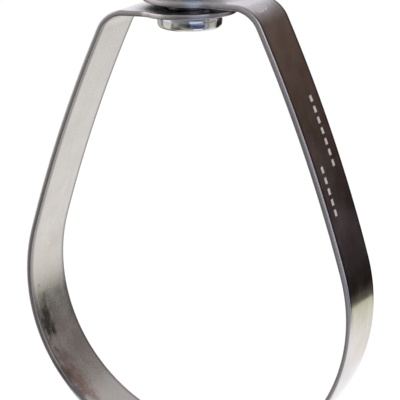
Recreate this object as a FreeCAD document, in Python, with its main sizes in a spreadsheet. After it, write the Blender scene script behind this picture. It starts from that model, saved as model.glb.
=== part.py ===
# Swivel ring hanger: a bent strip ring that hangs a pipe from a threaded rod, and its captured nut.
# Millimetres, +Z up. The origin is the centre of the ring's lower arc, where the pipe's centre lies.
# X runs across the ring and Y along the pipe.
import FreeCAD, Part
import math
import os
import Sketcher
from FreeCAD import Placement, Rotation, Vector

OUT_DIR = "parts"

# Each row is a size's name, its value and what it means. Lengths are in mm and angles in degrees.
SIZE_ROWS = [
    ("strip_width", 19.0, "width of the steel strip, 3/4 in"),
    ("strip_thickness", 1.5, "thickness of the strip, 16 gauge"),
    ("strip_edge_break", 0.35, "chamfer that stands for the strip's rolled long edges"),
    ("ring_radius", 48.0, "inside radius of the lower arc, for 3 in pipe"),
    ("limb_radius", 425.0, "inside radius of the long, nearly straight limbs"),
    ("bend_radius", 7.6, "inside radius of the two top corners"),
    ("neck_to_bend", 4.93, "straight strip between the lower eye's neck and the left corner"),
    ("eye_height", 78.1, "underside of the lower eye at the nut's axis, above the ring's centre"),
    ("eye_gap", 1.9, "gap between the lapped eyes at the nut's axis"),
    ("lower_eye_rise", 2.0, "spring-back of the lower eye, up towards its free end"),
    ("upper_eye_rise", 1.0, "spring-back of the upper eye, up towards its free end"),
    ("eye_radius", 12.7, "radius of both round eyes"),
    ("eye_neck_radius", 6.0, "hollow curve between the strip's side and an eye"),
    ("eye_hole_radius", 6.6, "radius of the punched holes that the nut turns in"),
    ("nut_offset", 1.4, "how far the nut's axis stands to the left of the ring's centre"),
    ("nut_play", 0.15, "free height between the nut's shoulders and the eyes, each side"),
    ("shank_clearance", 0.35, "radial gap between the nut's shank and the holes"),
    ("flange_radius", 8.75, "radius of the flange that carries the ring"),
    ("flange_height", 3.3, "height of that flange"),
    ("flange_edge_radius", 1.2, "rounding of the flange's lower edge"),
    ("head_radius", 9.5, "radius of the knurled head over its crests"),
    ("head_height", 9.0, "height of the knurled head"),
    ("head_chamfer", 1.0, "chamfer of the head's two rims"),
    ("thread_radius", 3.97, "radius at the crests of the 3/8 in - 16 thread"),
    ("thread_chamfer", 0.9, "lead-in at both ends of the thread"),
    ("knurl_count", 40, "grooves around the head"),
    ("knurl_depth", 0.45, "depth of each groove"),
    ("knurl_angle", 90.0, "angle between a groove's two walls"),
]
SIZE = {name: value for name, value, meaning in SIZE_ROWS}

# Heights above the ring's centre, and places along the path, that follow from the sizes.
LOWER_FLAT = ("sqrt((Sizes.eye_radius + Sizes.eye_neck_radius)^2"
              " - (Sizes.strip_width / 2 + Sizes.eye_neck_radius)^2) + Sizes.neck_to_bend")
UPPER_EYE = "Sizes.eye_height + Sizes.strip_thickness + Sizes.eye_gap"
FLANGE_TOP = "Sizes.eye_height - Sizes.flange_radius * tan(Sizes.lower_eye_rise * 1 deg) - Sizes.nut_play"
HEAD_BOTTOM = (UPPER_EYE + " + Sizes.strip_thickness"
               " + Sizes.head_radius * tan(Sizes.upper_eye_rise * 1 deg) + Sizes.nut_play")
SHANK_RADIUS = "Sizes.eye_hole_radius - Sizes.shank_clearance"
KNURL_HALF = "2 * Sizes.knurl_depth * tan(Sizes.knurl_angle / 2 * 1 deg)"

# How a sketch numbers a piece's start, end and centre, and its own origin.
START, END, CENTRE = range(1, 4)
ORIGIN = (-1, START)

# How far two worked-out sizes may differ and still be the same one.
SAME = 1e-6

doc = FreeCAD.newDocument("swivel_ring_hanger")


def make_sheet():
    """Put every driving size in a spreadsheet cell under its own name."""
    sheet = doc.addObject("Spreadsheet::Sheet", "Sizes")
    for row, (name, value, meaning) in enumerate(SIZE_ROWS, start=1):
        sheet.set("A%d" % row, name)
        sheet.set("B%d" % row, str(value))
        sheet.set("C%d" % row, meaning)
        sheet.setAlias("B%d" % row, name)
    doc.recompute()


def value_of(formula):
    """Work out a formula of the sheet's sizes, in mm, or in radians where it is an angle."""
    result = doc.getObject("Sizes").evalExpression(formula)
    if isinstance(result, FreeCAD.Units.Quantity) and result.Unit == FreeCAD.Units.Angle:
        return result.getValueAs("rad").Value
    return float(result)


def make_body(label):
    """Start an empty body under its own label."""
    body = doc.addObject("PartDesign::Body", label)
    body.Label = label
    return body


def sketch_on(body, role, name):
    """Attach a new sketch to one of the body's origin planes."""
    sketch = body.newObject("Sketcher::SketchObject", name)
    plane = next(item for item in body.Origin.OriginFeatures if item.Role == role)
    sketch.AttachmentSupport = [(plane, "")]
    sketch.MapMode = "FlatFace"
    return sketch


def drive(sketch, name, formula, kind, *places):
    """Add a constraint whose value follows a formula of the sheet's sizes."""
    index = sketch.addConstraint(Sketcher.Constraint(kind, *places, value_of(formula)))
    sketch.renameConstraint(index, name)
    sketch.setExpression("Constraints." + name, formula)


def fix(sketch, kind, *places):
    """Add a constraint that has no value of its own."""
    sketch.addConstraint(Sketcher.Constraint(kind, *places))


def arc(centre, radius, start, end):
    """A circular arc, anticlockwise between two angles in radians."""
    return Part.ArcOfCircle(Part.Circle(centre, Vector(0, 0, 1), radius), start, end)


def beside(point, angle, distance):
    """The point that lies at a distance from another one, in the direction of an angle."""
    return point + Vector(math.cos(angle), math.sin(angle), 0) * distance


def flat_axes(side, height, rise):
    """The point one bend radius under an eye's centre, and the direction from there to its corner.

    Side is -1 for the left flat and 1 for the right one.
    """
    upwards = Vector(side * math.sin(rise), math.cos(rise), 0)
    outwards = Vector(side * math.cos(rise), -math.sin(rise), 0)
    return Vector(-SIZE["nut_offset"], height, 0) - upwards * SIZE["bend_radius"], outwards


def limb_start():
    """Angle above the X axis at which the lower arc meets both limbs.

    It is the one that brings the left limb to a corner just past the lower eye's neck.
    """
    under_eye, outwards = flat_axes(-1, SIZE["eye_height"], math.radians(SIZE["lower_eye_rise"]))
    corner = under_eye + outwards * value_of(LOWER_FLAT)
    limb_reach = SIZE["limb_radius"] - SIZE["ring_radius"]
    corner_reach = SIZE["limb_radius"] - SIZE["bend_radius"]
    share = (corner_reach ** 2 - limb_reach ** 2 - corner.dot(corner)) / (2 * limb_reach)
    return math.asin(share / corner.Length) - math.atan2(-corner.x, corner.y)


def corner_and_limb(side, height, rise):
    """Centres of a top corner and of its limb.

    The corner's arc touches the limb's arc from inside, and the flat that carries the eye from below.
    """
    start = limb_start()
    reach = SIZE["limb_radius"] - SIZE["ring_radius"]
    limb = Vector(-side * reach * math.cos(start), -reach * math.sin(start), 0)
    under_eye, outwards = flat_axes(side, height, rise)
    gap = under_eye - limb
    along = gap.dot(outwards)
    radius = SIZE["limb_radius"] - SIZE["bend_radius"]
    corner = under_eye + outwards * (math.sqrt(along * along - gap.dot(gap) + radius * radius) - along)
    return corner, limb


def strip_face(offset):
    """The strip's run from the lower eye round the ring to the upper eye, offset outwards."""
    start = limb_start()
    lower_up = math.pi / 2 + math.radians(SIZE["lower_eye_rise"])
    upper_up = math.pi / 2 - math.radians(SIZE["upper_eye_rise"])
    lower_height = SIZE["eye_height"]
    upper_height = value_of(UPPER_EYE)
    left, left_limb = corner_and_limb(-1, lower_height, math.radians(SIZE["lower_eye_rise"]))
    right, right_limb = corner_and_limb(1, upper_height, math.radians(SIZE["upper_eye_rise"]))
    left_top = math.atan2(left.y - left_limb.y, left.x - left_limb.x)
    right_top = math.atan2(right.y - right_limb.y, right.x - right_limb.x)
    bend = SIZE["bend_radius"] + offset
    limb = SIZE["limb_radius"] + offset
    ring = SIZE["ring_radius"] + offset
    lower_eye = beside(Vector(-SIZE["nut_offset"], lower_height, 0), lower_up, offset)
    upper_eye = beside(Vector(-SIZE["nut_offset"], upper_height, 0), upper_up, offset)
    return [
        Part.LineSegment(beside(left, lower_up, bend), lower_eye),
        arc(left, bend, lower_up, left_top),
        arc(left_limb, limb, left_top, math.pi - start),
        arc(Vector(0, 0, 0), ring, math.pi - start, 2 * math.pi + start),
        arc(right_limb, limb, start, right_top),
        arc(right, bend, right_top, upper_up),
        Part.LineSegment(upper_eye, beside(right, upper_up, bend)),
    ]


def draw_strip(sketch):
    """Draw the strip edge-on: its inner face, its outer face and its two cut ends."""
    inner = strip_face(0)
    outer = strip_face(SIZE["strip_thickness"])
    ends = [
        Part.LineSegment(inner[0].EndPoint, outer[0].EndPoint),
        Part.LineSegment(inner[-1].StartPoint, outer[-1].StartPoint),
    ]
    sketch.addGeometry(inner + outer + ends)
    count = len(inner)
    for first in (0, count):
        lower, left_bend, left_limb, ring, right_limb, right_bend, upper = range(first, first + count)
        fix(sketch, "Tangent", lower, START, left_bend, START)
        fix(sketch, "Tangent", left_bend, END, left_limb, START)
        fix(sketch, "Tangent", left_limb, END, ring, START)
        fix(sketch, "Tangent", ring, END, right_limb, START)
        fix(sketch, "Tangent", right_limb, END, right_bend, START)
        fix(sketch, "Tangent", right_bend, END, upper, END)
    lower, left_bend, left_limb, ring, right_limb, right_bend, upper = range(count)
    fix(sketch, "Coincident", ring, CENTRE, *ORIGIN)
    drive(sketch, "ring", "Sizes.ring_radius", "Radius", ring)
    drive(sketch, "lower_flat", LOWER_FLAT, "Distance", lower)
    fix(sketch, "Horizontal", ring, START, ring, END)
    drive(sketch, "limb", "Sizes.limb_radius", "Radius", left_limb)
    fix(sketch, "Equal", left_limb, right_limb)
    drive(sketch, "bend", "Sizes.bend_radius", "Radius", left_bend)
    fix(sketch, "Equal", left_bend, right_bend)
    drive(sketch, "lower_rise", "Sizes.lower_eye_rise * 1 deg", "Angle", lower)
    drive(sketch, "upper_rise", "-Sizes.upper_eye_rise * 1 deg", "Angle", upper)
    drive(sketch, "lower_axis", "Sizes.nut_offset", "DistanceX", lower, END, *ORIGIN)
    drive(sketch, "upper_axis", "Sizes.nut_offset", "DistanceX", upper, START, *ORIGIN)
    drive(sketch, "lower_height", "Sizes.eye_height", "DistanceY", *ORIGIN, lower, END)
    drive(sketch, "upper_height", UPPER_EYE, "DistanceY", *ORIGIN, upper, START)
    for item in (left_bend, left_limb, ring, right_limb, right_bend):
        fix(sketch, "Coincident", item + count, CENTRE, item, CENTRE)
    drive(sketch, "outer_ring", "Sizes.ring_radius + Sizes.strip_thickness", "Radius", ring + count)
    for flat, eye, end in ((lower, END, 2 * count), (upper, START, 2 * count + 1)):
        fix(sketch, "Parallel", flat, flat + count)
        fix(sketch, "Coincident", end, START, flat, eye)
        fix(sketch, "Coincident", end, END, flat + count, eye)
        fix(sketch, "Perpendicular", end, flat)


def draw_eye(sketch, side):
    """Draw an eye and its two hollow necks round its own centre; side is where its strip comes from."""
    half = SIZE["strip_width"] / 2
    neck = SIZE["eye_neck_radius"]
    neck_y = half + neck
    neck_x = math.sqrt((SIZE["eye_radius"] + neck) ** 2 - neck_y ** 2)
    turn = math.atan2(neck_y, neck_x)
    if side > 0:
        eye = arc(Vector(0, 0, 0), SIZE["eye_radius"], turn, 2 * math.pi - turn)
        front = arc(Vector(neck_x, -neck_y, 0), neck, math.pi / 2, math.pi - turn)
        back = arc(Vector(neck_x, neck_y, 0), neck, math.pi + turn, 3 * math.pi / 2)
        front_strip, front_eye, back_strip, back_eye = START, END, END, START
    else:
        eye = arc(Vector(0, 0, 0), SIZE["eye_radius"], turn - math.pi, math.pi - turn)
        front = arc(Vector(-neck_x, -neck_y, 0), neck, turn, math.pi / 2)
        back = arc(Vector(-neck_x, neck_y, 0), neck, -math.pi / 2, -turn)
        front_strip, front_eye, back_strip, back_eye = END, START, START, END
    root = Part.LineSegment(Vector(side * neck_x, -half, 0), Vector(side * neck_x, half, 0))
    sketch.addGeometry([eye, front, back, root])
    eye, front, back, root = range(4)
    fix(sketch, "Coincident", eye, CENTRE, *ORIGIN)
    drive(sketch, "eye", "Sizes.eye_radius", "Radius", eye)
    drive(sketch, "neck", "Sizes.eye_neck_radius", "Radius", front)
    fix(sketch, "Equal", front, back)
    fix(sketch, "Tangent", eye, front_eye, front, front_eye)
    fix(sketch, "Tangent", eye, back_eye, back, back_eye)
    fix(sketch, "Vertical", front, CENTRE, front, front_strip)
    fix(sketch, "Vertical", back, CENTRE, back, back_strip)
    fix(sketch, "Coincident", root, START, front, front_strip)
    fix(sketch, "Coincident", root, END, back, back_strip)
    drive(sketch, "front_side", "Sizes.strip_width / 2", "DistanceY", root, START, *ORIGIN)
    drive(sketch, "back_side", "Sizes.strip_width / 2", "DistanceY", *ORIGIN, root, END)


def lay_on_eye(sketch, height, rise):
    """Lay a sketch on the underside of an eye, with the nut's axis through its origin."""
    sketch.AttachmentOffset = Placement(Vector(0, 0, 0), Rotation(Vector(0, 1, 0), 1))
    sketch.setExpression("AttachmentOffset.Base.x", "-Sizes.nut_offset")
    sketch.setExpression("AttachmentOffset.Base.z", height)
    sketch.setExpression("AttachmentOffset.Rotation.Angle", rise)


def add_eye(body, name, side, height, rise):
    """Add one round eye to the strip's end and punch the nut's hole in it."""
    outline = sketch_on(body, "XY_Plane", name + "_outline")
    lay_on_eye(outline, height, rise)
    draw_eye(outline, side)
    disc = body.newObject("PartDesign::Pad", name)
    disc.Profile = outline
    disc.setExpression("Length", "Sizes.strip_thickness")
    doc.recompute()
    punch = sketch_on(body, "XY_Plane", name + "_punch")
    lay_on_eye(punch, height, rise)
    punch.addGeometry(Part.Circle(Vector(0, 0, 0), Vector(0, 0, 1), SIZE["eye_hole_radius"]))
    fix(punch, "Coincident", 0, CENTRE, *ORIGIN)
    drive(punch, "hole", "Sizes.eye_hole_radius", "Radius", 0)
    hole = body.newObject("PartDesign::Pocket", name + "_hole")
    hole.Profile = punch
    hole.Reversed = True
    hole.setExpression("Length", "Sizes.strip_thickness")
    doc.recompute()
    check_cut(disc, hole, math.pi * SIZE["eye_hole_radius"] ** 2 * SIZE["strip_thickness"])


def check_cut(before, after, expected):
    """Make sure that a cut took away what it should, to within a tenth."""
    removed = before.Shape.Volume - after.Shape.Volume
    if abs(removed - expected) > 0.1 * expected:
        raise RuntimeError("%s cut %.3f mm3, not %.3f" % (after.Name, removed, expected))


def edges_where(shape, wanted):
    """Names of a shape's edges that pass a test."""
    return ["Edge%d" % index for index, edge in enumerate(shape.Edges, start=1) if wanted(edge)]


def is_long_edge(edge):
    """Tell the edges that run along the strip and round the eyes from the holes' and cross edges."""
    if isinstance(edge.Curve, Part.Circle):
        return abs(edge.Curve.Radius - SIZE["eye_hole_radius"]) > SAME
    across = abs(edge.Curve.Direction.y) > 0.5
    return not across and edge.Length > 1.01 * SIZE["strip_thickness"]


def dress(body, kind, name, size_property, size_name, wanted):
    """Round or chamfer the edges of the body's last feature that pass a test."""
    base = body.Tip
    feature = body.newObject(kind, name)
    feature.Base = (base, edges_where(base.Shape, wanted))
    feature.setExpression(size_property, "Sizes." + size_name)
    doc.recompute()


def make_band():
    """The ring: one bent strip whose two round eyes lap over each other at the top."""
    body = make_body("band")
    profile = sketch_on(body, "XZ_Plane", "strip_profile")
    draw_strip(profile)
    strip = body.newObject("PartDesign::Pad", "strip")
    strip.Profile = profile
    strip.SideType = "Symmetric"
    strip.setExpression("Length", "Sizes.strip_width")
    add_eye(body, "lower_eye", -1, "Sizes.eye_height", "-Sizes.lower_eye_rise * 1 deg")
    add_eye(body, "upper_eye", 1, UPPER_EYE, "Sizes.upper_eye_rise * 1 deg")
    dress(body, "PartDesign::Chamfer", "broken_edges", "Size", "strip_edge_break", is_long_edge)
    return body


def draw_nut_section(sketch):
    """Draw half of the nut's section: flange, shank and head round the bore."""
    bore = SIZE["thread_radius"]
    shank = value_of(SHANK_RADIUS)
    flange_top = value_of(FLANGE_TOP)
    head_bottom = value_of(HEAD_BOTTOM)
    bottom = flange_top - SIZE["flange_height"]
    top = head_bottom + SIZE["head_height"]
    corners = [
        Vector(bore, bottom, 0),
        Vector(SIZE["flange_radius"], bottom, 0),
        Vector(SIZE["flange_radius"], flange_top, 0),
        Vector(shank, flange_top, 0),
        Vector(shank, head_bottom, 0),
        Vector(SIZE["head_radius"], head_bottom, 0),
        Vector(SIZE["head_radius"], top, 0),
        Vector(bore, top, 0),
    ]
    sides = [Part.LineSegment(a, b) for a, b in zip(corners, corners[1:] + corners[:1])]
    sketch.addGeometry(sides)
    for side in range(len(sides)):
        fix(sketch, "Coincident", side, END, (side + 1) % len(sides), START)
        fix(sketch, "Vertical" if side % 2 else "Horizontal", side)
    under, flange, flange_seat, shank, head_seat, head, over, bore = range(len(sides))
    drive(sketch, "bore_radius", "Sizes.thread_radius", "DistanceX", *ORIGIN, bore, START)
    drive(sketch, "flange_radius", "Sizes.flange_radius", "DistanceX", *ORIGIN, flange, START)
    drive(sketch, "shank_radius", SHANK_RADIUS, "DistanceX", *ORIGIN, shank, START)
    drive(sketch, "head_radius", "Sizes.head_radius", "DistanceX", *ORIGIN, head, START)
    drive(sketch, "flange_top", FLANGE_TOP, "DistanceY", *ORIGIN, shank, START)
    drive(sketch, "flange_height", "Sizes.flange_height", "DistanceY", flange, START, flange, END)
    drive(sketch, "head_bottom", HEAD_BOTTOM, "DistanceY", *ORIGIN, shank, END)
    drive(sketch, "head_height", "Sizes.head_height", "DistanceY", head, START, head, END)


def draw_groove(sketch):
    """Draw one V groove of the knurl, from its root out to as far beyond the crests as it is deep."""
    root = SIZE["head_radius"] - SIZE["knurl_depth"]
    outside = SIZE["head_radius"] + SIZE["knurl_depth"]
    half = value_of(KNURL_HALF)
    corners = [Vector(root, 0, 0), Vector(outside, half, 0), Vector(outside, -half, 0)]
    sketch.addGeometry([Part.LineSegment(a, b) for a, b in zip(corners, corners[1:] + corners[:1])])
    for side in range(3):
        fix(sketch, "Coincident", side, END, (side + 1) % 3, START)
    fix(sketch, "PointOnObject", 0, START, -1)
    fix(sketch, "Vertical", 1)
    drive(sketch, "root", "Sizes.head_radius - Sizes.knurl_depth", "DistanceX", *ORIGIN, 0, START)
    drive(sketch, "outside", "Sizes.head_radius + Sizes.knurl_depth", "DistanceX", *ORIGIN, 0, END)
    drive(sketch, "upper_half", KNURL_HALF, "DistanceY", *ORIGIN, 0, END)
    drive(sketch, "lower_half", KNURL_HALF, "DistanceY", 1, END, *ORIGIN)


def rim_at(radius, *heights):
    """A test that finds the circles of one radius at the given heights."""
    def wanted(edge):
        curve = edge.Curve
        return (isinstance(curve, Part.Circle) and abs(curve.Radius - radius) < SAME
                and any(abs(curve.Center.z - height) < SAME for height in heights))
    return wanted


def add_knurl(body):
    """Cut the straight knurl round the head."""
    blank = body.Tip
    outline = sketch_on(body, "XY_Plane", "groove_outline")
    outline.setExpression("AttachmentOffset.Base.z", HEAD_BOTTOM)
    draw_groove(outline)
    groove = body.newObject("PartDesign::Pocket", "groove")
    groove.Profile = outline
    groove.Reversed = True
    groove.setExpression("Length", "Sizes.head_height")
    doc.recompute()
    knurl = body.newObject("PartDesign::PolarPattern", "knurl")
    knurl.Originals = [groove]
    knurl.Axis = (outline, ["N_Axis"])
    knurl.Angle = 360
    knurl.setExpression("Occurrences", "Sizes.knurl_count")
    body.Tip = knurl
    doc.recompute()
    one = blank.Shape.Volume - groove.Shape.Volume
    check_cut(blank, knurl, one * SIZE["knurl_count"])


def make_nut():
    """The captured nut: its flange carries both eyes and its knurled head is turned by hand."""
    body = make_body("swivel_nut")
    section = sketch_on(body, "XZ_Plane", "nut_section")
    draw_nut_section(section)
    turned = body.newObject("PartDesign::Revolution", "turned_blank")
    turned.Profile = section
    turned.ReferenceAxis = (section, ["V_Axis"])
    turned.Angle = 360
    doc.recompute()
    flange_top = value_of(FLANGE_TOP)
    head_bottom = value_of(HEAD_BOTTOM)
    bottom = flange_top - SIZE["flange_height"]
    top = head_bottom + SIZE["head_height"]
    dress(body, "PartDesign::Fillet", "flange_edge", "Radius", "flange_edge_radius",
          rim_at(SIZE["flange_radius"], bottom))
    dress(body, "PartDesign::Chamfer", "head_rims", "Size", "head_chamfer",
          rim_at(SIZE["head_radius"], head_bottom, top))
    dress(body, "PartDesign::Chamfer", "thread_leads", "Size", "thread_chamfer",
          rim_at(SIZE["thread_radius"], bottom, top))
    add_knurl(body)
    body.setExpression("Placement.Base.x", "-Sizes.nut_offset")
    doc.recompute()
    return body


def check_document(bodies):
    """Stop if any object failed or a body isn't one valid solid."""
    for item in doc.Objects:
        if "Invalid" in item.State or "Error" in item.State:
            raise RuntimeError("%s failed: %s" % (item.Name, item.State))
    for body in bodies:
        shape = body.Shape
        if shape.isNull() or not shape.isValid() or len(shape.Solids) != 1:
            raise RuntimeError("%s isn't one valid solid" % body.Label)


def export(bodies):
    """Write each body to a file of its own name."""
    os.makedirs(OUT_DIR, exist_ok=True)
    for body in bodies:
        body.Shape.exportStep(os.path.join(OUT_DIR, body.Label + ".step"))


make_sheet()
pieces = [make_band(), make_nut()]
doc.recompute()
check_document(pieces)
export(pieces)
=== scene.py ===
# Looks of a swivel ring hanger: a galvanised strip ring and its zinc-plated, knurled nut.
# It uses the CAD's own frame: Z up, the ring in the XZ plane, its centre at the origin.
# Sizes are written in millimetres, as in the CAD, and vertices are placed in metres. The studio
# round it is written in metres.
import math
import bpy
from mathutils import Matrix, Vector


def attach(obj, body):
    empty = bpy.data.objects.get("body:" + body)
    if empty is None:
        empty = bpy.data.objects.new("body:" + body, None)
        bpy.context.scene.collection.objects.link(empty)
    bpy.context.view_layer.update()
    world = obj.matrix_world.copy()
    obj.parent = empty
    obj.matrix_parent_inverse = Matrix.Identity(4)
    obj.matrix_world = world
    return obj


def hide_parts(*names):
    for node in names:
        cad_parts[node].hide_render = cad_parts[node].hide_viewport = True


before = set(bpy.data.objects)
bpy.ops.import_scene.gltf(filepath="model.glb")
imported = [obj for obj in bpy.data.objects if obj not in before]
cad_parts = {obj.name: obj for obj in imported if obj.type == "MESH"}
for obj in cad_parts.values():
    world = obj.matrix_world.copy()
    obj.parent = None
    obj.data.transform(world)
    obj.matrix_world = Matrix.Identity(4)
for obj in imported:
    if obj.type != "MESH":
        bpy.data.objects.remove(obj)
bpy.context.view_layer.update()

MM = 0.001

# The strip and its two eyes
STRIP_WIDTH = 19.0
STRIP_THICKNESS = 1.5
EDGE_ROUNDING = 0.45
RING_RADIUS = 48.0
LIMB_RADIUS = 425.0
BEND_RADIUS = 7.6
NECK_TO_BEND = 4.93
EYE_HEIGHT = 78.1
EYE_GAP = 1.9
LOWER_EYE_RISE = math.radians(2.0)
UPPER_EYE_RISE = math.radians(1.0)
EYE_RADIUS = 12.7
EYE_NECK_RADIUS = 6.0
EYE_HOLE_RADIUS = 6.6
HOLE_ROUNDING = 0.15
NUT_OFFSET = 1.4
UPPER_EYE_HEIGHT = EYE_HEIGHT + STRIP_THICKNESS + EYE_GAP
UPPER_EYE_TOP = UPPER_EYE_HEIGHT + STRIP_THICKNESS
NECK_SIDE = STRIP_WIDTH / 2 + EYE_NECK_RADIUS
NECK_REACH = math.sqrt((EYE_RADIUS + EYE_NECK_RADIUS) ** 2 - NECK_SIDE ** 2)

# The nut
NUT_PLAY = 0.15
SHANK_RADIUS = 6.25
FLANGE_RADIUS = 8.75
FLANGE_HEIGHT = 3.3
FLANGE_ROUNDING = 1.2
FLANGE_BULGE = 0.08
FLANGE_CREST = 0.02
FLANGE_CREST_HEIGHT = 0.68 * FLANGE_HEIGHT
FLANGE_CREST_ROUNDING = 5.0
HEAD_RADIUS = 9.5
HEAD_HEIGHT = 9.0
HEAD_CHAMFER = 1.0
CORNER_ROUNDING = 0.2
KNURL_COUNT = 40
KNURL_DEPTH = 0.45
BORE_RADIUS = 3.97
BORE_CHAMFER = 0.9
THREAD_DEPTH = 0.79
THREAD_PITCH = 1.5875
THREAD_FLANK_ANGLE = math.radians(30.0)
THREAD_ROOT_SHARE = 1 / 8
FLANGE_TOP = EYE_HEIGHT - FLANGE_RADIUS * math.tan(LOWER_EYE_RISE) - NUT_PLAY
HEAD_BOTTOM = UPPER_EYE_TOP + HEAD_RADIUS * math.tan(UPPER_EYE_RISE) + NUT_PLAY
NUT_BOTTOM = FLANGE_TOP - FLANGE_HEIGHT
NUT_TOP = HEAD_BOTTOM + HEAD_HEIGHT

FLOOR_HEIGHT = -RING_RADIUS - STRIP_THICKNESS

# How finely the round stretches are divided, and how many columns of points each groove has
ARC_STEPS = (28, 24, 150, 24, 28)
EDGE_STEPS = 4
FACE_STEPS = 3
EYE_NECK_STEPS = 8
EYE_STEPS = 96
EYE_RINGS = 3
LARGE_ROUNDING = 0.5
LARGE_ROUNDING_STEPS = 8
SMALL_ROUNDING_STEPS = 3
GROOVE_COLUMNS = 4
SHARP_ANGLE = math.radians(28.0)

# The strip's dull borders: where they start and are full across it, how they end along it, and
# the heights between which they fade out on the outer face
BORDER_START = 7.7
BORDER_FULL = 8.7
BORDER_LEAD = 6.0
BORDER_SOFTNESS = 3.0
BORDER_FADE_BOTTOM = -1.0
BORDER_FADE_TOP = 6.0

# The stamped dashes: each row's place across the strip, its bottom and its top
DASH_ROWS = ((3.6, 38.7, 58.5), (-4.4, 28.0, 41.5))
DASH_WIDTH = 1.4
DASH_PITCH = 2.8
DASH_SOFTNESS = 0.1
DASH_START_SHARE = 0.2
DASH_END_SHARE = 0.75

# Soft spots on the strip: each one's centre and its reach along X, Y and Z
# A painted warm reflection on the inner face, low on the left
WARM_REFLECTION_SPOT = ((-35.5, -5.4, -32), (10, 3.2, 10))
# A dark patch on the inner face of the left limb
DARK_INNER_SPOT = ((-46, -5.6, -14.5), (7, 2.8, 7))
# Painted shade on the inner side of the lower left edge
EDGE_SHADE_SPOT = ((-37, -9, -33), (10, 3, 9))
SCUFF = ((20.2, -3, 81.2), (1.3, 4, 1.2))
RUBBED_RING = ((-NUT_OFFSET, 0, 83), (11.5, 11.5, 2))
# A painted bluish highlight on the upper eye's top, in front of the nut
HIGHLIGHT_SPOT = ((4.3, -9.8, 83.2), (1.7, 2.5, 1.0))

# The patches inside the ring, a painted warm reflection and a dark patch: each one's spot, strength and
# colour
INNER_PATCHES = ((WARM_REFLECTION_SPOT, 0.6, (150, 108, 96)), (DARK_INNER_SPOT, 0.85, (62, 58, 58)))

# How rough the strip's surfaces are
INNER_ROUGHNESS = 0.26
OUTER_ROUGHNESS = 0.13
RIM_EXTRA_ROUGHNESS = 0.1
DASH_ROUGHNESS = 0.8
WORN_ROUGHNESS = 0.55

# How far the noise on the strip's outer face lies from that on its inner one, how dense the nut's
# turning rings are, and how near a surface has to come to shade the strip and the nut
FACES_APART = 7.0
TURNING_DENSITY = 3200.0
EYE_SHADE_REACH = 6.0
NUT_SHADE_REACH = 1.0

# The studio, in metres
FLOOR_REACH = 6.0
FLOOR_GLOW = 0.8
CARD_LIFT = 0.0005
CARD_BOTTOM = FLOOR_HEIGHT * MM + CARD_LIFT
WALL_BEHIND = 1.2
LAMP_PLACE = (-0.25, -0.2, 0.9)
LAMP_SIZE = (0.9, 0.6)
LAMP_POWER = 4.0

# The photograph's camera: angles in degrees, lengths in millimetres, the picture in pixels
CAMERA_AZIMUTH = 25.22
CAMERA_ELEVATION = 17.93
CAMERA_DISTANCE = 413.13
AIM_HEIGHT = 20.0
CAMERA_YAW = -0.185
CAMERA_PITCH = 0.814
CAMERA_ROLL = 0.10
SENSOR_WIDTH = 36.0
FOCAL_PIXELS = 1490.3
PICTURE_PIXELS = 400
NEAREST_SEEN = 10.0
FARTHEST_SEEN = 50000.0


class MeshMaker:
    """Collects points, with their normals and strip coordinates, and joins those that coincide."""

    def __init__(self):
        self.points, self.normals, self.faces, self.known = [], [], [], {}
        self.coordinates, self.sides, self.rims = [], [], []

    def point(self, place, normal, coordinate=(0.0, 0.0), side=0.0, rim=0.0):
        key = tuple(round(value, 3) for value in place)
        if key not in self.known:
            self.known[key] = len(self.points)
            self.points.append(Vector(place) * MM)
            self.normals.append(Vector(normal).normalized())
            self.coordinates.append((coordinate[0] * MM, coordinate[1] * MM))
            self.sides.append(side)
            self.rims.append(rim)
        return self.known[key]

    def face(self, *corners):
        """Add a face, without corners that coincide, wound to agree with its points' normals."""
        corners = list(dict.fromkeys(corners))
        if len(corners) < 3:
            return
        ring = [self.points[index] for index in corners]
        across = sum((a.cross(b) for a, b in zip(ring, ring[1:] + ring[:1])), Vector())
        outwards = sum((self.normals[index] for index in corners), Vector())
        self.faces.append(corners if across.dot(outwards) > 0 else corners[::-1])

    def grid(self, rows, closed=False):
        """Fill the space between neighbouring rows of points."""
        for first, second in zip(rows, rows[1:] + (rows[:1] if closed else [])):
            for a, b, c, d in zip(first, first[1:], second[1:], second):
                self.face(a, b, c, d)

    def build(self, name):
        mesh = bpy.data.meshes.new(name)
        mesh.from_pydata(self.points, [], self.faces)
        layer = mesh.uv_layers.new(name="along_and_across")
        for loop in mesh.loops:
            layer.data[loop.index].uv = self.coordinates[loop.vertex_index]
        mesh.attributes.new("outer_side", "FLOAT", "POINT").data.foreach_set("value", self.sides)
        mesh.attributes.new("rim", "FLOAT", "POINT").data.foreach_set("value", self.rims)
        mesh.shade_smooth()
        made = bpy.data.objects.new(name, mesh)
        bpy.context.scene.collection.objects.link(made)
        return made


def polar(radius, angle):
    """A step of a length in a direction, in the plane of the ring."""
    return Vector((radius * math.cos(angle), radius * math.sin(angle)))


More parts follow.
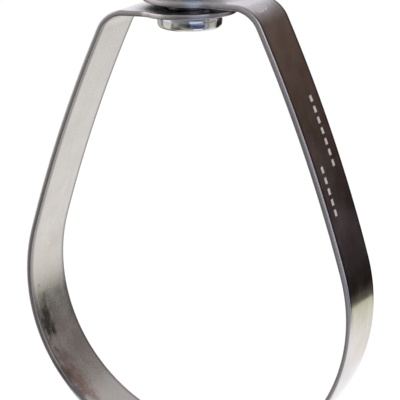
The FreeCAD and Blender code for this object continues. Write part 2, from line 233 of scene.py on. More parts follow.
def strip_arcs():
    """The arcs of the strip's inner face between the eyes: centre, radius, start and end."""
    lower_up = math.pi / 2 + LOWER_EYE_RISE
    upper_up = math.pi / 2 - UPPER_EYE_RISE
    under_lower = Vector((-NUT_OFFSET, EYE_HEIGHT)) - polar(BEND_RADIUS, lower_up)
    left_corner = under_lower + polar(NECK_REACH + NECK_TO_BEND, lower_up + math.pi / 2)
    limb_reach = LIMB_RADIUS - RING_RADIUS
    corner_reach = LIMB_RADIUS - BEND_RADIUS
    share = (corner_reach ** 2 - limb_reach ** 2 - left_corner.length_squared) / (2 * limb_reach)
    start = math.asin(share / left_corner.length) - math.atan2(-left_corner.x, left_corner.y)
    left_limb = -polar(limb_reach, math.pi - start)
    right_limb = -polar(limb_reach, start)
    under_upper = Vector((-NUT_OFFSET, UPPER_EYE_HEIGHT)) - polar(BEND_RADIUS, upper_up)
    outwards = polar(1, upper_up - math.pi / 2)
    gap = under_upper - right_limb
    along = gap.dot(outwards)
    run = math.sqrt(along ** 2 - gap.length_squared + corner_reach ** 2) - along
    right_corner = under_upper + outwards * run
    left_top = math.atan2(left_corner.y - left_limb.y, left_corner.x - left_limb.x)
    right_top = math.atan2(right_corner.y - right_limb.y, right_corner.x - right_limb.x)
    return [
        (left_corner, BEND_RADIUS, lower_up, left_top),
        (left_limb, LIMB_RADIUS, left_top, math.pi - start),
        (Vector((0, 0)), RING_RADIUS, math.pi - start, 2 * math.pi + start),
        (right_limb, LIMB_RADIUS, start, right_top),
        (right_corner, BEND_RADIUS, right_top, upper_up),
    ]


def strip_stations():
    """Stations from neck to neck, each with its distance along the strip, place and upward angle."""
    arcs = strip_arcs()
    lower_up = arcs[0][2]
    upper_up = arcs[-1][3]
    root = Vector((-NUT_OFFSET, EYE_HEIGHT)) + polar(NECK_REACH, lower_up + math.pi / 2)
    stations = [(NECK_REACH, root, lower_up)]
    along = NECK_REACH + NECK_TO_BEND
    for (centre, radius, start, end), count in zip(arcs, ARC_STEPS):
        for step in range(count + 1):
            angle = start + (end - start) * step / count
            stations.append((along + radius * (angle - start), centre + polar(radius, angle), angle))
        along += radius * (end - start)
    last = stations[-1][1]
    root = Vector((-NUT_OFFSET, UPPER_EYE_HEIGHT)) + polar(NECK_REACH, upper_up - math.pi / 2)
    stations.append((along + (root - last).length, root, upper_up))
    return stations


def edge_profile():
    """The rounded edge from the inner face to the outer: inset, height, and the normal's two parts."""
    profile = []
    for step in range(EDGE_STEPS + 1):
        angle = math.pi / 2 * step / EDGE_STEPS
        profile.append((EDGE_ROUNDING * (1 - math.sin(angle)), EDGE_ROUNDING * (1 - math.cos(angle)),
                        math.sin(angle), -math.cos(angle)))
    upper = [(inset, STRIP_THICKNESS - height, out, -up) for inset, height, out, up in profile]
    return profile + upper[::-1]


def face_offsets():
    """Places across the strip's flat faces, from one rounded edge to the other."""
    half = STRIP_WIDTH / 2 - EDGE_ROUNDING
    return [half * step / FACE_STEPS for step in range(-FACE_STEPS, FACE_STEPS + 1)]


def add_strip(maker):
    """Sweep the strip's section from neck to neck."""
    half = STRIP_WIDTH / 2
    section = [(y, 0.0, 0.0, -1.0) for y in face_offsets()]
    section += [(half - inset, height, out, up) for inset, height, out, up in edge_profile()]
    section += [(y, STRIP_THICKNESS, 0.0, 1.0) for y in reversed(face_offsets())]
    section += [(inset - half, height, -out, up) for inset, height, out, up in reversed(edge_profile())]
    rows = []
    for along, place, angle in strip_stations():
        up = polar(1, angle)
        row = []
        for y, height, out, rise in section:
            spot = place + up * height
            row.append(maker.point((spot.x, y, spot.y), (up.x * rise, out, up.y * rise),
                                   (along, y), height / STRIP_THICKNESS, abs(out)))
        rows.append(row + row[:1])
    maker.grid(rows)


def eye_outline():
    """Points round an eye, from one side of its strip to the other, each with its outward direction.

    They lie in the eye's own plane, with X from its centre towards the strip.
    """
    turn = math.atan2(NECK_SIDE, NECK_REACH)
    neck = []
    for step in range(EYE_NECK_STEPS + 1):
        angle = 3 * math.pi / 2 - (math.pi / 2 - turn) * step / EYE_NECK_STEPS
        out = -polar(1, angle)
        neck.append((Vector((NECK_REACH, NECK_SIDE)) - out * EYE_NECK_RADIUS, out))
    eye = []
    for step in range(1, EYE_STEPS):
        out = polar(1, turn + 2 * (math.pi - turn) * step / EYE_STEPS)
        eye.append((out * EYE_RADIUS, out))
    flip = Vector((1, -1))
    return neck + eye + [(place * flip, out * flip) for place, out in reversed(neck)]


def add_eye(maker, height_at_axis, up_angle, side, along_at_axis):
    """Add one round eye with its punched hole. Side is -1 where the strip comes from the left."""
    axis = Vector((-NUT_OFFSET, height_at_axis))
    towards_strip = polar(1, up_angle - side * math.pi / 2)
    up = polar(1, up_angle)

    def put(spot, height, out, rise):
        place = axis + towards_strip * spot.x + up * height
        normal = towards_strip * out.x + up * rise
        coordinate = (along_at_axis - side * spot.x, spot.y)
        return maker.point((place.x, spot.y, place.y), (normal.x, out.y, normal.y), coordinate,
                           height / STRIP_THICKNESS, out.length)

    outline = eye_outline()
    rim = [place - out * EDGE_ROUNDING for place, out in outline]
    rim += [Vector((NECK_REACH, y)) for y in face_offsets()[1:-1]]
    none = Vector((0, 0))
    for height, rise in ((0.0, -1.0), (STRIP_THICKNESS, 1.0)):
        rows = []
        for place in rim:
            inner = place.normalized() * (EYE_HOLE_RADIUS + HOLE_ROUNDING)
            rows.append([put(inner.lerp(place, step / EYE_RINGS), height, none, rise)
                         for step in range(EYE_RINGS + 1)])
        maker.grid(rows, closed=True)
    maker.grid([[put(place - out * inset, height, out * share, rise)
                 for inset, height, share, rise in edge_profile()] for place, out in outline])
    wall = [(HOLE_ROUNDING, 0.0, -1.0), (0.0, HOLE_ROUNDING, 0.0),
            (0.0, STRIP_THICKNESS - HOLE_ROUNDING, 0.0), (HOLE_ROUNDING, STRIP_THICKNESS, 1.0)]
    rows = []
    for place in rim:
        out = place.normalized()
        rows.append([put(out * (EYE_HOLE_RADIUS + inset), height, -out * (1 - abs(rise)), rise)
                     for inset, height, rise in wall])
    maker.grid(rows, closed=True)


def make_band():
    """The whole bent strip as one smooth mesh, which stands for the CAD's band."""
    maker = MeshMaker()
    stations = strip_stations()
    add_strip(maker)
    add_eye(maker, EYE_HEIGHT, stations[0][2], -1, 0.0)
    add_eye(maker, UPPER_EYE_HEIGHT, stations[-1][2], 1, stations[-1][0] + NECK_REACH)
    band = maker.build("strip_ring")
    band.data.normals_split_custom_set_from_vertices(maker.normals)
    return band


def round_corners(corners):
    """A polyline through corners (radius, height, rounding), with an arc at each rounded one."""
    line = []
    for number, (radius, height, rounding) in enumerate(corners):
        corner = Vector((radius, height))
        if rounding == 0:
            line.append(corner)
            continue
        before = (Vector(corners[number - 1][:2]) - corner).normalized()
        after = (Vector(corners[number + 1][:2]) - corner).normalized()
        half = before.angle(after) / 2
        centre = corner + (before + after).normalized() * (rounding / math.sin(half))
        first = corner + before * (rounding / math.tan(half)) - centre
        last = corner + after * (rounding / math.tan(half)) - centre
        steps = LARGE_ROUNDING_STEPS if rounding > LARGE_ROUNDING else SMALL_ROUNDING_STEPS
        for step in range(steps + 1):
            line.append(centre + first.lerp(last, step / steps).normalized() * rounding)
    return line


def knurl_columns():
    """Angles round the nut, each with the radius that the knurl leaves there, root by root."""
    root = HEAD_RADIUS - KNURL_DEPTH
    pitch = 2 * math.pi / KNURL_COUNT
    edge = KNURL_DEPTH / HEAD_RADIUS
    columns = []
    for groove in range(KNURL_COUNT):
        start = groove * pitch
        columns += [(start, root), (start + edge, HEAD_RADIUS), (start + pitch / 2, HEAD_RADIUS),
                    (start + pitch - edge, HEAD_RADIUS)]
    return columns


def add_nut_outside(maker):
    """Turn the nut's outside, from its lower bore edge to the upper one, with the knurl in the head."""
    root = HEAD_RADIUS - KNURL_DEPTH
    run_out = HEAD_CHAMFER - KNURL_DEPTH
    mouth = BORE_RADIUS + BORE_CHAMFER
    line = round_corners([
        (mouth, NUT_BOTTOM, 0),
        (FLANGE_RADIUS - FLANGE_BULGE, NUT_BOTTOM, FLANGE_ROUNDING),
        (FLANGE_RADIUS + FLANGE_CREST, NUT_BOTTOM + FLANGE_CREST_HEIGHT, FLANGE_CREST_ROUNDING),
        (FLANGE_RADIUS - FLANGE_BULGE, FLANGE_TOP, CORNER_ROUNDING),
        (SHANK_RADIUS, FLANGE_TOP, CORNER_ROUNDING),
        (SHANK_RADIUS, HEAD_BOTTOM, CORNER_ROUNDING),
        (HEAD_RADIUS - HEAD_CHAMFER, HEAD_BOTTOM, 0),
        (root, HEAD_BOTTOM + run_out, 0),
        (HEAD_RADIUS, HEAD_BOTTOM + HEAD_CHAMFER, 0),
        (HEAD_RADIUS, NUT_TOP - HEAD_CHAMFER, 0),
        (root, NUT_TOP - run_out, 0),
        (HEAD_RADIUS - HEAD_CHAMFER, NUT_TOP, 0),
        (mouth, NUT_TOP, 0),
    ])
    rows = []
    for number, (radius, height) in enumerate(line):
        ahead = line[min(number + 1, len(line) - 1)] - line[max(number - 1, 0)]
        row = []
        for angle, limit in knurl_columns():
            r = min(radius, limit)
            place = (r * math.cos(angle) - NUT_OFFSET, r * math.sin(angle), height)
            normal = (ahead.y * math.cos(angle), ahead.y * math.sin(angle), -ahead.x)
            row.append(maker.point(place, normal))
        rows.append(row + row[:1])
    # The grooves run out between these rows and the next ones, counted from the line's end.
    lower_run_out, upper_run_out = len(line) - 6, len(line) - 4
    for number, (first, second) in enumerate(zip(rows, rows[1:])):
        if number not in (lower_run_out, upper_run_out):
            maker.grid([first, second])
            continue
        near, far = (second, first) if number == upper_run_out else (first, second)
        for column, (a, b, c, d) in enumerate(zip(near, near[1:], far[1:], far)):
            if column % GROOVE_COLUMNS == 0:
                maker.face(a, b, c)
                maker.face(a, c, d)
            elif column % GROOVE_COLUMNS == GROOVE_COLUMNS - 1:
                maker.face(a, b, d)
                maker.face(b, c, d)
            else:
                maker.face(a, b, c, d)


def add_thread(maker):
    """Cut the right-hand thread in the bore: each row of points follows one line of its helix."""
    flank = THREAD_DEPTH * math.tan(THREAD_FLANK_ANGLE) / THREAD_PITCH
    root = THREAD_ROOT_SHARE
    crest = 1 - root - 2 * flank
    phases = [(0, 0), (crest / 2, 0), (crest, 0), (crest + flank / 2, 0.5), (crest + flank, 1),
              (crest + flank + root, 1), (1 - flank / 2, 0.5)]
    angles = [angle for angle, limit in knurl_columns()] + [2 * math.pi]
    turns = range(-1, math.ceil((NUT_TOP - NUT_BOTTOM) / THREAD_PITCH) + 1)
    rows = []
    for turn in turns:
        for phase, depth in phases:
            row = []
            for angle in angles:
                height = NUT_BOTTOM + THREAD_PITCH * (turn + phase + angle / (2 * math.pi))
                height = min(max(height, NUT_BOTTOM), NUT_TOP)
                lead = BORE_CHAMFER - min(height - NUT_BOTTOM, NUT_TOP - height)
                radius = BORE_RADIUS + max(depth * THREAD_DEPTH, lead)
                place = (radius * math.cos(angle) - NUT_OFFSET, radius * math.sin(angle), height)
                row.append(maker.point(place, (-math.cos(angle), -math.sin(angle), 0)))
            rows.append(row)
    maker.grid(rows)


def make_nut():
    """The knurled nut with its real thread, which stands for the CAD's nut."""
    maker = MeshMaker()
    add_nut_outside(maker)
    add_thread(maker)
    nut = maker.build("knurled_nut")
    nut.data.set_sharp_from_angle(angle=SHARP_ANGLE)
    shading = nut.modifiers.new("even_shading", "WEIGHTED_NORMAL")
    shading.keep_sharp = True
    return nut


class Shader:
    """A short way to place and link a material's nodes."""

    def __init__(self, name):
        self.material = bpy.data.materials.new(name)
        self.material.use_nodes = True
        self.tree = self.material.node_tree
        self.tree.nodes.clear()

    def node(self, kind, inputs=None, **settings):
        made = self.tree.nodes.new(kind)
        for name, value in settings.items():
            setattr(made, name, value)
        for socket, value in (inputs or {}).items():
            if isinstance(value, bpy.types.NodeSocket):
                self.tree.links.new(value, made.inputs[socket])
            else:
                made.inputs[socket].default_value = value
        return made

    def math(self, operation, *values):
        return self.node("ShaderNodeMath", dict(enumerate(values)), operation=operation).outputs[0]

    def attribute(self, name):
        return self.node("ShaderNodeAttribute", attribute_name=name).outputs["Fac"]

    def place_parts(self):
        """The place in the object's own space, whole and split in X, Y and Z."""
        place = self.node("ShaderNodeTexCoord").outputs["Object"]
        parts = self.node("ShaderNodeSeparateXYZ", {"Vector": place}).outputs
        return place, parts["X"], parts["Y"], parts["Z"]

    def noise(self, vector, scale, detail=3.0, roughness=0.55):
        made = self.node("ShaderNodeTexNoise", {"Vector": vector, "Scale": scale, "Detail": detail,
                                                "Roughness": roughness})
        return made.outputs["Fac"]

    def spread(self, value, low, high, to_low, to_high):
        """Map a value's range to another one."""
        made = self.node("ShaderNodeMapRange", {"Value": value, "From Min": low, "From Max": high,
                                                "To Min": to_low, "To Max": to_high})
        return made.outputs["Result"]

    def mix(self, factor, first, second):
        made = self.node("ShaderNodeMix", {0: factor, 6: first, 7: second}, data_type="RGBA")
        return made.outputs[2]

    def bump(self, height, strength, distance, normal=None):
        inputs = {"Height": height, "Strength": strength, "Distance": distance}
        if normal is not None:
            inputs["Normal"] = normal
        return self.node("ShaderNodeBump", inputs).outputs["Normal"]

    def finish(self, surface):
        self.node("ShaderNodeOutputMaterial", {"Surface": surface.outputs[0]})
        return self.material

    def finish_metal(self, tint, grazing, roughness, normal):
        return self.finish(self.node("ShaderNodeBsdfPrincipled", {
            "Base Color": tint, "Metallic": 1.0, "Specular Tint": grazing, "Roughness": roughness,
            "Normal": normal}))


class StripShader(Shader):
    """A shader with the strip's own coordinates and the noises that its looks share."""

    def __init__(self, name):
        super().__init__(name)
        self.place, self.x, self.y, self.z = self.place_parts()
        uv = self.node("ShaderNodeUVMap", uv_map="along_and_across").outputs["UV"]
        parts = self.node("ShaderNodeSeparateXYZ", {"Vector": uv}).outputs
        self.along, self.across = parts["X"], parts["Y"]
        self.side = self.attribute("outer_side")
        self.inner = self.math("SUBTRACT", 1.0, self.side)
        self.rim = self.attribute("rim")
        self.cut = self.spread(self.rim, 0.0, 0.4, 0, 1)
        self.streaks = self.noise(self.stretched(along=30.0, across=700.0), scale=1.0)
        self.clouds = self.noise(self.place, scale=130.0, detail=4.0, roughness=0.6)
        self.grain = self.noise(self.place, scale=2800.0, detail=2.0, roughness=0.5)
        self.mottle = self.math("ADD", self.math("MULTIPLY", self.streaks, 0.25),
                                self.math("MULTIPLY", self.clouds, 0.75))
        frayed = self.noise(self.place, scale=330.0, detail=4.0, roughness=0.65)
        self.ragged = self.spread(frayed, 0.3, 0.7, 0, 1.3)

    def stretched(self, along, across):
        """The strip's own coordinates, stretched, with the outer face apart from the inner one."""
        return self.node("ShaderNodeCombineXYZ", {
            "X": self.math("MULTIPLY", self.along, along),
            "Y": self.math("MULTIPLY", self.across, across),
            "Z": self.math("MULTIPLY", self.side, FACES_APART),
        }).outputs["Vector"]

    def mottled(self, low, high):
        """A value that follows the streaks and clouds."""
        return self.spread(self.mottle, 0.36, 0.64, low, high)

    def patch(self, spot, ragged=0.0):
        """1 within a spot's reach, fading to 0 at almost twice the reach, or sooner where ragged."""
        centre, reach = spot
        away = self.node("ShaderNodeVectorMath", {0: self.place, 1: [value * MM for value in centre]},
                         operation="SUBTRACT").outputs[0]
        away = self.node("ShaderNodeVectorMath", {0: away, 1: [1 / (value * MM) for value in reach]},
                         operation="MULTIPLY").outputs[0]
        away = self.node("ShaderNodeVectorMath", {0: away}, operation="LENGTH").outputs["Value"]
        return self.spread(self.math("ADD", away, ragged), 1.0, 1.9, 1, 0)


def colour(red, green, blue):
    """A colour written as it shows, from 0 to 255, in the linear values of a shader."""
    return [((value / 255 + 0.055) / 1.055) ** 2.4 for value in (red, green, blue)] + [1.0]


def crevices(shader, reach, darkest):
    """1 in the open, and down to the darkest where another surface lies within the reach (mm): the mask
    for painted shade.
    """
    shade = shader.node("ShaderNodeAmbientOcclusion", {"Distance": reach * MM}, samples=8)
    return shader.spread(shade.outputs["AO"], 0.2, 0.95, darkest, 1.0)


def between(shader, value, low, high, soft):
    """1 from low to high, with soft ends, and 0 beyond them."""
    return shader.math("MULTIPLY", shader.spread(value, low - soft, low + soft, 0, 1),
                       shader.spread(value, high - soft, high + soft, 1, 0))


def dull_borders(shader):
    """1 along the borders of the strip's faces, which are painted duller and darker.

    Outside, they fade out low down on the ring.
    """
    border = shader.spread(shader.math("ABSOLUTE", shader.across),
                           BORDER_START * MM, BORDER_FULL * MM, 0, 1)
    end = strip_stations()[-1][0]
    along = between(shader, shader.along, (NECK_REACH + BORDER_LEAD) * MM,
                    (end - BORDER_LEAD) * MM, BORDER_SOFTNESS * MM)
    faded = shader.spread(shader.z, BORDER_FADE_BOTTOM * MM, BORDER_FADE_TOP * MM, 0, 1)
    return shader.math("MULTIPLY", shader.math("MULTIPLY", border, along),
                       shader.math("MAXIMUM", faded, shader.inner))


def stamped_dashes(shader):
    """Two plain rows of short dashes, stamped in the right limb's outer face."""
    rows = []
    for y, low, high in DASH_ROWS:
        across = between(shader, shader.y, (y - DASH_WIDTH / 2) * MM, (y + DASH_WIDTH / 2) * MM,
                         DASH_SOFTNESS * MM)
        along = between(shader, shader.z, low * MM, high * MM, DASH_SOFTNESS * MM)
        phase = shader.math("FRACT", shader.math("DIVIDE", shader.z, DASH_PITCH * MM))
        dash = between(shader, phase, DASH_START_SHARE, DASH_END_SHARE, 0.05)
        rows.append(shader.math("MULTIPLY", across, shader.math("MULTIPLY", along, dash)))
    right = shader.math("MULTIPLY", shader.spread(shader.x, 0.0, 10.0 * MM, 0, 1), shader.side)
    return shader.math("MULTIPLY", shader.math("MAXIMUM", *rows), right)


def strip_tint(shader, border, dashes):
    """The zinc's colour: cloudy, with a painted warm reflection and a dark patch inside, painted shade
    on the lower left edge, duller at the borders and on the cut edges.
    """
    cloudy = shader.mottled(0, 1)
    dull = shader.mix(cloudy, colour(198, 193, 185), colour(212, 208, 202))
    bright = shader.mix(cloudy, colour(222, 216, 214), colour(236, 233, 235))
    tint = shader.mix(shader.side, dull, bright)
    # A painted warm reflection and a dark patch on the inner face
    for spot, strength, patch_colour in INNER_PATCHES:
        patched = shader.math("MULTIPLY", shader.patch(spot, shader.ragged), shader.inner)
        tint = shader.mix(shader.math("MULTIPLY", patched, strength), tint, colour(*patch_colour))
    tint = shader.mix(border, tint, colour(164, 160, 160))
    cut_tint = shader.mix(shader.spread(shader.side, 0.3, 0.7, 0, 1),
                          colour(176, 172, 174), colour(220, 217, 222))
    tint = shader.mix(shader.cut, tint, cut_tint)
    # Painted shade that dims the lower left edge's inner side
    edge_shade = shader.math("MULTIPLY", shader.patch(EDGE_SHADE_SPOT, shader.ragged),
                        shader.spread(shader.side, 0.6, 0.9, 0.45, 0))
    tint = shader.mix(edge_shade, tint, colour(70, 62, 58))
    return shader.mix(dashes, tint, colour(250, 242, 240))


def shade_strip(shader, tint, grazing):
    """Paint shade into both colours where the eyes and the nut's head come close to each other.

    The painted shade in the gap between the eyes is black at its left and lighter towards its right
    end. The upper eye's top stays light, and a spot on it in front of the nut gets a painted bluish
    highlight.
    """
    lighter = shader.math("MULTIPLY", shader.spread(shader.x, -1.0 * MM, 10.0 * MM, 0, 1),
                          shader.math("SUBTRACT", 1.0, shader.cut))
    darkest = shader.spread(lighter, 0, 1, 0.02, 0.6)
    top = shader.spread(shader.z, (UPPER_EYE_TOP - 0.5) * MM, (UPPER_EYE_TOP - 0.3) * MM, 0, 0.95)
    # Painted highlight: a bluish white spot in front of the nut
    painted_highlight = shader.patch(HIGHLIGHT_SPOT)
    shade = shader.math("MAXIMUM", crevices(shader, EYE_SHADE_REACH, darkest), top)
    shade = shader.math("MAXIMUM", shade, painted_highlight)
    tint = shader.mix(painted_highlight, tint, colour(232, 240, 252))
    gap = colour(170, 168, 190)
    # Painted shade: near black where the gap between the eyes is shut, a lighter grey towards its open
    # right end
    tint = shader.mix(shade, shader.mix(lighter, colour(14, 12, 20), gap), tint)
    grazing = shader.mix(shade, shader.mix(lighter, colour(10, 9, 14), gap), grazing)
    return tint, grazing


def strip_roughness(shader, dashes):
    """Smoother outside than inside, uneven, and dull at the rims, dashes and rubbed spots."""
    smooth = shader.spread(shader.side, 0.0, 1.0, INNER_ROUGHNESS, OUTER_ROUGHNESS)
    uneven = shader.math("ADD", shader.mottled(-0.03, 0.04),
                         shader.math("MULTIPLY", shader.rim, RIM_EXTRA_ROUGHNESS))
    rubbed = shader.math("MAXIMUM", shader.patch(RUBBED_RING), shader.patch(SCUFF, shader.ragged))
    worn = shader.math("MAXIMUM", shader.math("MULTIPLY", dashes, DASH_ROUGHNESS),
                       shader.math("MULTIPLY", rubbed, WORN_ROUGHNESS))
    return shader.math("MAXIMUM", shader.math("ADD", smooth, uneven), worn)


def strip_normal(shader, dashes):
    """Faint waves, rolling lines, the dashes' stamped depth and a fine grain."""
    waves = shader.bump(shader.clouds, 0.3, 0.1 * MM)
    lines = shader.bump(shader.streaks, 0.2, 0.01 * MM, waves)
    stamped = shader.bump(shader.math("SUBTRACT", 1.0, dashes), 0.7, 0.2 * MM, lines)
    return shader.bump(shader.grain, 0.1, 0.006 * MM, stamped)


def galvanised_strip():
    """Zinc-coated strip: soft rolling streaks and clouds, a painted warm reflection, a dark patch,
    painted shade and a painted highlight, dull borders and cut edges.
    """
    shader = StripShader("galvanised_strip")
    border = dull_borders(shader)
    dashes = stamped_dashes(shader)
    grazing = shader.mix(border, colour(252, 251, 254), colour(190, 188, 190))
    grazing = shader.mix(shader.cut, grazing, colour(220, 218, 224))
    tint, grazing = shade_strip(shader, strip_tint(shader, border, dashes), grazing)
    return shader.finish_metal(tint, grazing, strip_roughness(shader, dashes),
                               strip_normal(shader, dashes))


def zinc_nut():
    """Bright zinc plating on turned steel: fine turning rings, a faint bluish and yellowish film, and
    painted shade where other surfaces come close.
    """
    shader = Shader("zinc_nut")
    place, x, y, z = shader.place_parts()
    x = shader.math("ADD", x, NUT_OFFSET * MM)
    radius = shader.math("SQRT", shader.math("ADD", shader.math("MULTIPLY", x, x),
                                             shader.math("MULTIPLY", y, y)))
    turned = shader.node("ShaderNodeCombineXYZ", {
        "X": shader.math("MULTIPLY", radius, TURNING_DENSITY),
        "Y": shader.math("MULTIPLY", z, TURNING_DENSITY)}).outputs["Vector"]
    rings = shader.noise(turned, scale=1.0, roughness=0.6)
    film = shader.noise(place, scale=190.0)
    tint = shader.mix(shader.spread(film, 0.38, 0.62, 0, 1), colour(213, 219, 230),
                      colour(230, 227, 216))
    # Painted shade: the nut darkens where another surface comes close, except on its head
    head = shader.spread(z, UPPER_EYE_TOP * MM, (UPPER_EYE_TOP + 0.2) * MM, 0, 0.85)
    shade = shader.math("MAXIMUM", crevices(shader, NUT_SHADE_REACH, 0.3), head)
    tint = shader.mix(shade, colour(16, 14, 22), tint)
    grazing = shader.mix(shade, colour(16, 14, 22), colour(255, 255, 255))
    roughness = shader.spread(shader.math("ADD", rings, film), 0.75, 1.25, 0.08, 0.17)
    normal = shader.bump(rings, 0.25, 0.006 * MM, shader.bump(film, 0.2, 0.06 * MM))
    return shader.finish_metal(tint, grazing, roughness, normal)


def seen_directly(shader):
    """1 for rays that come from the camera, a reflection or glass."""
    path = shader.node("ShaderNodeLightPath").outputs
    return shader.math("MAXIMUM", path["Is Camera Ray"],
                       shader.math("MAXIMUM", path["Is Glossy Ray"], path["Is Transmission Ray"]))


def pale_floor():
    """White floor that shows as white, and still takes a soft shadow."""
    shader = Shader("pale_floor")
    lit = shader.node("ShaderNodeBsdfDiffuse", {"Color": colour(245, 245, 245)}).outputs[0]
    glow = shader.node("ShaderNodeEmission", {"Color": (1, 1, 1, 1), "Strength": 1.0}).outputs[0]
    factor = shader.math("MULTIPLY", seen_directly(shader), FLOOR_GLOW)
    return shader.finish(shader.node("ShaderNodeMixShader", {0: factor, 1: lit, 2: glow}))


def make_mesh(name, corners, material):
    """A flat stage piece through its corners."""
    mesh = bpy.data.meshes.new(name)
    mesh.from_pydata(corners, [], [tuple(range(len(corners)))])
    mesh.materials.append(material)
    made = bpy.data.objects.new(name, mesh)
    bpy.context.scene.collection.objects.link(made)
    return made


def reflected_card(name, corners, tones):
    """A studio card that only reflections see, with a colour at each of its corners."""
    shader = Shader(name)
    tone = shader.node("ShaderNodeVertexColor", layer_name="tone").outputs["Color"]
    material = shader.finish(shader.node("ShaderNodeEmission", {"Color": tone, "Strength": 1.0}))
    card = make_mesh(name, corners, material)
    layer = card.data.color_attributes.new("tone", "FLOAT_COLOR", "POINT")
    for number, shown in enumerate(tones):
        layer.data[number].color = colour(*shown)
    for kind in ("camera", "diffuse", "shadow", "transmission", "volume_scatter"):
        setattr(card, "visible_" + kind, False)


def lying_card(name, corners, tones, lift=CARD_LIFT):
    """A card that lies on the floor, from its corners' X and Y."""
    height = FLOOR_HEIGHT * MM + lift
    reflected_card(name, [(x, y, height) for x, y in corners], tones)


def standing_card(name, left, right, low, high, tones):
    """An upright card, whose tones go round from its low left corner to its high left one."""
    reflected_card(name, [(*left, low), (*right, low), (*right, high), (*left, high)], tones)


def put_cards_behind():
    """The floor and the wall behind the ring: dark at the right, pale at the left and above."""
    lying_card("dark_floor_behind",
               [(0.05, 0.157), (0.2, 0.157), (1.35, 1.2), (0.02, 1.2), (0.02, 0.6), (0.12, 0.35)],
               [(30, 23, 22), (30, 23, 22), (66, 56, 56), (70, 62, 64), (80, 74, 76), (34, 27, 26)])
    lying_card("dim_floor_behind", [(0.05, 0.157), (0.2, 0.157), (0.21, 0.21), (0.047, 0.21)],
               [(90, 86, 76), (104, 98, 88), (32, 25, 24), (32, 25, 24)], CARD_LIFT + 0.0003)
    standing_card("dark_wall_behind", (0.21, WALL_BEHIND), (0.66, WALL_BEHIND), CARD_BOTTOM, 0.26,
                  [(34, 26, 26), (40, 31, 29), (82, 66, 56), (90, 74, 64)])
    standing_card("brown_wall_behind", (0.21, WALL_BEHIND), (0.66, WALL_BEHIND), 0.26, 0.65,
                  [(92, 76, 66), (84, 68, 58), (120, 114, 112), (132, 126, 124)])
    standing_card("pale_wall_higher", (-0.56, WALL_BEHIND), (0.66, WALL_BEHIND), 0.65, 0.9,
                  [(236, 235, 240), (236, 235, 240), (220, 218, 222), (236, 235, 240)])
    standing_card("grey_wall_behind", (0.66, WALL_BEHIND), (1.35, WALL_BEHIND), CARD_BOTTOM, 0.9,
                  [(80, 68, 70), (140, 134, 136), (176, 170, 172), (186, 180, 182)])
    wall = [(-0.56, (236, 235, 240)), (-0.3, (232, 231, 236)), (0.05, (136, 130, 128)),
            (0.21, (124, 118, 114))]
    for part, ((left, first), (right, last)) in enumerate(zip(wall, wall[1:])):
        standing_card("pale_wall_behind_%d" % part, (left, WALL_BEHIND), (right, WALL_BEHIND),
                      0.1, 0.65, [first, last, last, first])
    lying_card("warm_floor_behind", [(0.05, 0.157), (0.2, 0.157), (0.13, 0.09), (0.045, 0.06)],
               [(203, 208, 177), (203, 208, 177), (243, 239, 231), (247, 243, 238)])
    lying_card("pale_floor_behind", [(0.045, 0.06), (0.13, 0.09), (0.1, 0.04), (0.03, 0.04)],
               [(243, 242, 239), (241, 240, 235), (249, 249, 247), (251, 251, 249)])


def put_cards_around():
    """The floor in front of the ring and beside it: grey and beige at the left, blue at the right."""
    lying_card("grey_floor_front_left",
               [(-0.09, -0.012), (-1.0, -1.2), (-0.6, -1.25), (-0.03, -0.05)],
               [(130, 126, 120), (154, 154, 128), (132, 130, 124), (84, 80, 79)])
    lying_card("grey_floor_in_front", [(-0.03, -0.05), (-0.6, -1.25), (-0.25, -1.4), (0.04, -0.03)],
               [(84, 80, 79), (132, 130, 124), (160, 160, 150), (178, 176, 172)])
    lying_card("navy_floor_in_front",
               [(0.04, -0.03), (-0.25, -1.4), (0.6, -1.4), (0.26, -0.45), (0.1, -0.14)],
               [(178, 176, 172), (160, 160, 150), (96, 96, 122), (84, 86, 114), (150, 150, 158)])
    lying_card("beige_floor_left",
               [(-0.09, -0.012), (-1.0, -1.2), (-1.5, -0.5), (-1.5, 0.3), (-0.3, 0.1)],
               [(240, 236, 224), (196, 190, 172), (240, 236, 224), (226, 220, 206), (240, 236, 224)])
    lying_card("navy_floor_right", [(0.1, -0.14), (0.26, -0.45), (0.5, -0.1), (0.16, -0.03)],
               [(120, 130, 160), (44, 48, 84), (60, 66, 100), (170, 180, 200)])
    lying_card("sky_floor_right", [(0.26, -0.45), (0.6, -1.4), (1.5, -0.5), (0.5, -0.1)],
               [(120, 134, 180), (150, 160, 196), (170, 180, 205), (130, 142, 176)])
    lying_card("blue_floor_right", [(1.5, -0.5), (0.5, -0.1), (0.16, -0.03), (0.3, 0.25), (1.1, 0.9)],
               [(150, 160, 176), (125, 134, 150), (150, 160, 170), (165, 168, 170), (150, 152, 150)])
    over = CARD_LIFT + 0.001
    lying_card("shaded_floor_in_front",
               [(-0.224, -0.332), (-0.67, -1.0), (-0.22, -1.18), (-0.074, -0.393)],
               [(182, 184, 176), (182, 184, 176), (104, 104, 102), (104, 104, 102)], over)
    lying_card("dark_floor_in_front",
               [(-0.074, -0.393), (-0.22, -1.18), (0.43, -1.12), (0.119, -0.308)],
               [(104, 104, 102), (104, 104, 102), (20, 24, 44), (20, 24, 44)], over)
    lying_card("blue_floor_in_front", [(0.119, -0.308), (0.43, -1.12), (0.5, -1.0), (0.17, -0.31)],
               [(20, 24, 44), (20, 24, 44), (90, 96, 126), (90, 96, 126)], over)


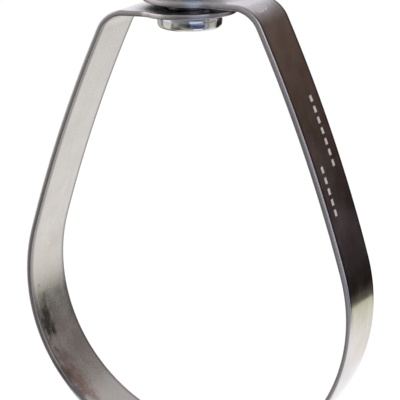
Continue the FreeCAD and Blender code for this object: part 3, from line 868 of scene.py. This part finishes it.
def put_room():
    """The low window at the right, the walls in front and beside, and the room above."""
    standing_card("window_right", (0.638, -1.443), (1.448, -0.543), -0.02, 0.22,
                  [(240, 248, 255), (214, 226, 250), (214, 226, 250), (240, 248, 255)])
    standing_card("grey_wall_in_front", (-1.5, -1.5), (0.6, -1.5), CARD_BOTTOM, 0.5,
                  [(150, 150, 146), (92, 92, 110), (140, 140, 152), (190, 190, 190)])
    standing_card("blue_wall_right", (0.6, -1.5), (1.5, -0.5), CARD_BOTTOM, 0.5,
                  [(146, 142, 148), (140, 138, 140), (150, 148, 150), (150, 152, 160)])
    standing_card("grey_wall_right", (1.5, -0.5), (1.3, 0.35), CARD_BOTTOM, 0.7,
                  [(130, 128, 132), (130, 128, 130), (150, 150, 152), (140, 138, 142)])
    reflected_card("grey_room_in_front",
                   [(-1.5, -1.5, 0.5), (1.5, -1.5, 0.5), (1.5, -0.5, 1.7), (-1.5, -0.5, 1.7)],
                   [(150, 148, 150), (150, 148, 150), (170, 168, 170), (170, 168, 170)])
    reflected_card("grey_ceiling",
                   [(-1.5, -0.5, 1.7), (1.5, -0.5, 1.7), (1.5, 1.21, 1.7), (-1.5, 1.21, 1.7)],
                   [(170, 168, 170), (170, 168, 170), (186, 184, 188), (186, 184, 188)])
    standing_card("pale_wall_above", (-1.5, 1.21), (1.5, 1.21), 0.5, 1.7,
                  [(214, 208, 218), (214, 208, 218), (186, 184, 188), (186, 184, 188)])
    lying_card("grey_floor_behind_left",
               [(-0.07, 0.0), (-0.3, 0.1), (-1.5, 0.3), (-1.2, 1.2), (-0.2, 0.4), (-0.06, 0.08)],
               [(120, 116, 114)] * 6)


def make_surround():
    """A white world all round."""
    world = bpy.data.worlds.new("white_surround")
    world.use_nodes = True
    world.node_tree.nodes["Background"].inputs["Color"].default_value = (1, 1, 1, 1)
    world.node_tree.nodes["Background"].inputs["Strength"].default_value = 1.0
    bpy.context.scene.world = world


def make_lamp():
    """A soft lamp overhead, which reflections don't show."""
    lamp = bpy.data.lights.new("overhead", "AREA")
    lamp.shape = "RECTANGLE"
    lamp.size, lamp.size_y = LAMP_SIZE
    lamp.energy = LAMP_POWER
    placed = bpy.data.objects.new("overhead", lamp)
    placed.location = LAMP_PLACE
    placed.rotation_mode = "QUATERNION"
    placed.rotation_quaternion = Vector(LAMP_PLACE).to_track_quat("Z", "Y")
    placed.visible_glossy = False
    bpy.context.scene.collection.objects.link(placed)


def make_stage():
    """Pale floor, the cards that the metal reflects, a white surround and a soft overhead lamp."""
    z = FLOOR_HEIGHT * MM
    make_mesh("floor", [(-FLOOR_REACH, -FLOOR_REACH, z), (FLOOR_REACH, -FLOOR_REACH, z),
                        (FLOOR_REACH, FLOOR_REACH, z), (-FLOOR_REACH, FLOOR_REACH, z)], pale_floor())
    put_cards_behind()
    put_cards_around()
    put_room()
    make_surround()
    make_lamp()


def make_camera():
    """The photograph's camera: in front, to the right and a little above, looking at the ring."""
    azimuth, elevation = math.radians(CAMERA_AZIMUTH), math.radians(CAMERA_ELEVATION)
    back = Vector((math.sin(azimuth) * math.cos(elevation), -math.cos(azimuth) * math.cos(elevation),
                   math.sin(elevation)))
    place = Vector((0, 0, AIM_HEIGHT)) + back * CAMERA_DISTANCE
    right = (-back).cross(Vector((0, 0, 1))).normalized()
    up = right.cross(-back)
    yaw = Matrix.Rotation(math.radians(CAMERA_YAW), 3, up)
    back, right = yaw @ back, yaw @ right
    pitch = Matrix.Rotation(math.radians(CAMERA_PITCH), 3, right)
    back, up = pitch @ back, pitch @ up
    roll = Matrix.Rotation(math.radians(CAMERA_ROLL), 3, -back)
    right, up = roll @ right, roll @ up
    lens = bpy.data.cameras.new("photo_camera")
    lens.sensor_width = SENSOR_WIDTH
    lens.lens = FOCAL_PIXELS / PICTURE_PIXELS * SENSOR_WIDTH
    lens.clip_start, lens.clip_end = NEAREST_SEEN * MM, FARTHEST_SEEN * MM
    camera = bpy.data.objects.new("photo_camera", lens)
    turned = Matrix((right, up, back)).transposed().to_4x4()
    camera.matrix_world = Matrix.Translation(place * MM) @ turned
    bpy.context.scene.collection.objects.link(camera)
    bpy.context.scene.camera = camera


def dress(piece, body, node, material):
    """Let a piece stand for a CAD node, and give both the same material."""
    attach(piece, body)
    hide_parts(node)
    piece.data.materials.append(material)
    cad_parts[node].data.materials.clear()
    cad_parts[node].data.materials.append(material)


bpy.context.scene.view_settings.view_transform = "Standard"
make_camera()
make_stage()
dress(make_band(), "ring", "band", galvanised_strip())
dress(make_nut(), "nut", "swivel_nut", zinc_nut())
